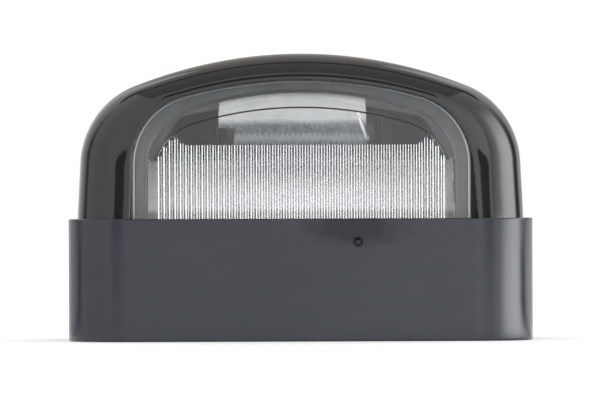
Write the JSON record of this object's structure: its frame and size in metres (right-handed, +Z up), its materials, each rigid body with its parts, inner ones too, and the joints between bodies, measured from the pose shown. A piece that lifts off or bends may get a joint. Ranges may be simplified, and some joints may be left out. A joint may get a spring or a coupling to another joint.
{
  "type": "number plate lamp",
  "caption": "Number plate lamp with an open-bottomed base, a domed hood, a fluted clear window and a festoon bulb under a metal shade.",
  "frame": {"origin": "middle of the underside of the base", "axes": "+X across the lamp, window faces -Y, +Z up from the surface that the base is fixed to"},
  "size_m": [0.1, 0.054, 0.062],
  "materials": {
    "base_plastic": "satin black moulding",
    "hood_plastic": "polished black moulding",
    "clear_plastic": "clear moulding",
    "seal_rubber": "matt black rubber",
    "white_enamel": "white enamelled sheet",
    "zinc_sheet": "spangled zinc plate",
    "rivet_steel": "bright plated",
    "bulb_glass": "clear",
    "cap_brass": "nickelled brass",
    "filament_wire": "dull grey",
    "spring_bronze": "darkened bronze",
    "hard_paper": "dark laminate",
    "tinned_brass": "tinned"
  },
  "bodies": {
    "root": {"base": "base_plastic", "hood": "hood_plastic", "lens": "clear_plastic", "lens_seal": "seal_rubber", "hood_gasket": "seal_rubber", "bulb_carrier": "white_enamel", "bulb_shade": "zinc_sheet", "shade_rivets": "rivet_steel", "bulb_glass": "bulb_glass", "bulb_cap_left": "cap_brass", "bulb_cap_right": "cap_brass", "bulb_filament": "filament_wire", "contact_left": "spring_bronze", "contact_right": "spring_bronze", "insulator_left": "hard_paper", "insulator_right": "hard_paper", "terminal_live": "tinned_brass", "terminal_earth": "tinned_brass", "contact_rivets": "rivet_steel", "carrier_screws": "rivet_steel", "cover_screws": "rivet_steel", "cover_screw_seals": "seal_rubber", "cable_grommet": "seal_rubber"}
  },
  "joints": []
}
